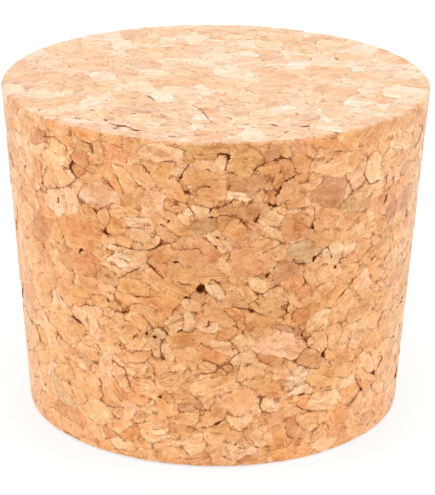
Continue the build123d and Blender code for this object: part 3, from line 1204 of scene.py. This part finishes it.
def with_edges(nodes, patterns, colour, fainter):
    """A colour with ragged brown edges that come and go, darker where the joint stands open."""
    ragged = nodes.minus(nodes.plus(patterns["crumbs"], patterns["cells"]), 2 * PATTERN_MIDDLE)
    ragged = nodes.times(ragged, EDGE_RAGGEDNESS)
    edge = nodes.ramp(nodes.plus(patterns["inward"], ragged), *EDGE_BREADTH)
    breaks = nodes.ramp(patterns["breaks"], *EDGE_BREAKS)
    edge = nodes.times(edge, breaks, nodes.ramp(patterns["zones"], *EDGE_ZONES), fainter)
    colour = nodes.mixed(edge, colour, EDGE_COLOUR)
    stain = nodes.plus(patterns["inward"], nodes.times(ragged, STAIN_RAGGED_SHARE))
    stain = nodes.minus(stain, nodes.ramp(nodes.attribute("joint"), *STAIN_REACH))
    stain = nodes.times(nodes.ramp(stain, *STAIN_BREADTH), fainter)
    return nodes.mixed(stain, colour, STAIN_COLOUR)


def cork_material(name, specular, sheen):
    """Cork with a granule's own tint, mottled, streaked and edged, with painted light and shade, in one of
    the skin's finishes.
    """
    nodes = Nodes(name)
    patterns = cork_patterns(nodes)
    # Mottled tones, and painted light that pales the side towards the foot
    colour = with_tones(nodes, patterns, nodes.attribute("tint", "Color"), MOTTLED_AND_FOOT_LIGHT_TONES)

    # Soft growth lines, in parts of some granules
    off_line = nodes.maths("ABSOLUTE", nodes.minus(patterns["growth"], PATTERN_MIDDLE))
    line = nodes.times(nodes.ramp(off_line, *LINE_BREADTH), nodes.ramp(patterns["patches"], *LINE_PATCHES))
    colour = nodes.mixed(line, colour, LINE_COLOUR)

    # The ground ends, paler for dust and for painted sheen, where the marks that follow are fainter
    normal = nodes.add("ShaderNodeNewGeometry").outputs["True Normal"]
    upright = nodes.add("ShaderNodeSeparateXYZ", {0: normal}).outputs["Z"]
    end_face = nodes.ramp(nodes.maths("ABSOLUTE", upright), *END_FACING)
    fainter = nodes.ramp(end_face, *END_FAINTNESS)
    colour = with_dust_and_sheen(nodes, patterns, colour, end_face)

    # Lumps, a shade apart and here and there outlined
    colour = with_tones(nodes, patterns, colour, LUMP_TONES)
    ragged = nodes.times(nodes.minus(patterns["cells"], PATTERN_MIDDLE), OUTLINE_RAGGEDNESS)
    outline = nodes.ramp(nodes.plus(patterns["lump_edges"], ragged), *OUTLINE_BREADTH)
    outline = nodes.times(outline, nodes.ramp(patterns["breaks"], *OUTLINE_BREAKS), fainter)
    colour = nodes.mixed(outline, colour, OUTLINE_COLOUR)

    # Dark specks, in clusters
    speck = nodes.ramp(patterns["crumbs"], *SPECK_SIZE)
    speck = nodes.times(speck, nodes.ramp(patterns["patches"], *SPECK_PATCHES))
    colour = nodes.mixed(speck, colour, SPECK_COLOUR)

    # Painted highlights along the granules' edges, their ragged brown edges, and painted shade in the depths
    # of joints and voids
    colour = with_tones(nodes, patterns, colour, EDGE_HIGHLIGHT_TONES)
    colour = with_edges(nodes, patterns, colour, fainter)
    # Painted shade, deepening towards the floors of joints, gashes and voids
    colour = nodes.mixed(nodes.ramp(nodes.attribute("dark"), *DEPTH_SHADE_RANGE), colour, DEPTH_SHADE_COLOUR)

    relief = nodes.plus(patterns["cells"], patterns["fibres"])
    relief = nodes.plus(relief, nodes.times(patterns["crumbs"], CRUMB_RELIEF))
    relief = nodes.minus(relief, nodes.times(line, LINE_RELIEF))
    bump = {"Strength": BUMP_STRENGTH, "Distance": BUMP_DEPTH, "Height": relief}
    shader = nodes.add("ShaderNodeBsdfPrincipled", {
        "Base Color": colour,
        "Roughness": ROUGHNESS,
        "Specular IOR Level": specular,
        "Sheen Weight": sheen,
        "Sheen Roughness": SHEEN_ROUGHNESS,
        "Sheen Tint": SHEEN_TINT,
        "Normal": nodes.add("ShaderNodeBump", bump).outputs["Normal"],
    })
    nodes.add("ShaderNodeOutputMaterial", {"Surface": shader.outputs["BSDF"]})
    return nodes.material


# Stage

FLOOR_CORNERS, FLOOR_REACH, FLOOR_DROP = ((-1, -1), (1, -1), (1, 1), (-1, 1)), 3.0, 0.00002
FLOOR_PAINT, FLOOR_WHITE_SHARE = (0.97, 0.97, 0.97, 1.0), 0.7
WORLD_COLOUR, WORLD_STRENGTH = (1.0, 1.0, 1.0, 1.0), 0.65

# Lamps: place, diameter and power
LAMPS = {
    "lamp_left": ((-0.50, -0.15, 0.12), 0.35, 1.0),
    "lamp_right": ((0.50, -0.02, 0.12), 0.35, 0.86),
    "lamp_top": ((0.0, -0.12, 0.60), 0.40, 1.5),
    "lamp_back": ((0.0, 0.60, 0.25), 0.50, 1.6),
}


def floor_material():
    """Paint that mostly shows plain white wherever it is seen itself, and catches the shadow."""
    nodes = Nodes("floor")
    paint = nodes.add("ShaderNodeBsdfDiffuse", {"Color": FLOOR_PAINT}).outputs[0]
    white = nodes.add("ShaderNodeEmission", {"Strength": 1.0}).outputs[0]
    path = nodes.add("ShaderNodeLightPath").outputs
    seen = nodes.plus(path["Is Camera Ray"], path["Is Glossy Ray"])
    seen = nodes.times(nodes.plus(seen, path["Is Transmission Ray"]), FLOOR_WHITE_SHARE)
    both = nodes.add("ShaderNodeMixShader", {0: seen, 1: paint, 2: white}).outputs[0]
    nodes.add("ShaderNodeOutputMaterial", {"Surface": both})
    return nodes.material


def make_floor():
    mesh = bpy.data.meshes.new("floor")
    corners = [(x * FLOOR_REACH, y * FLOOR_REACH, -FLOOR_DROP) for x, y in FLOOR_CORNERS]
    mesh.from_pydata(corners, [], [(0, 1, 2, 3)])
    mesh.materials.append(floor_material())
    floor = bpy.data.objects.new("floor", mesh)
    bpy.context.scene.collection.objects.link(floor)


def make_world():
    world = bpy.data.worlds.new("world")
    bpy.context.scene.world = world
    world.use_nodes = True
    background = world.node_tree.nodes["Background"].inputs
    background["Color"].default_value = WORLD_COLOUR
    background["Strength"].default_value = WORLD_STRENGTH


def make_lamp(name, place, size, power):
    """A round lamp that faces the middle of the stopper."""
    data = bpy.data.lights.new(name, "AREA")
    data.shape = "DISK"
    data.size = size
    data.energy = power
    lamp = bpy.data.objects.new(name, data)
    lamp.location = place
    lamp.rotation_mode = "QUATERNION"
    lamp.rotation_quaternion = (Vector(place) - Vector((0, 0, TOP_HEIGHT / 2))).to_track_quat("Z", "Y")
    bpy.context.scene.collection.objects.link(lamp)


make_camera()
skin = bpy.data.objects.new("cork_skin", build_skin())
bpy.context.scene.collection.objects.link(skin)
for name, (specular, sheen) in FINISHES.items():
    skin.data.materials.append(cork_material(name, specular, sheen))
skin.data.set_sharp_from_angle(angle=SHARP_ANGLE)
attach(skin, BODY)
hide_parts(NODE)

make_floor()
make_world()
for name, (place, size, power) in LAMPS.items():
    make_lamp(name, place, size, power)
bpy.context.scene.view_settings.view_transform = "Standard"
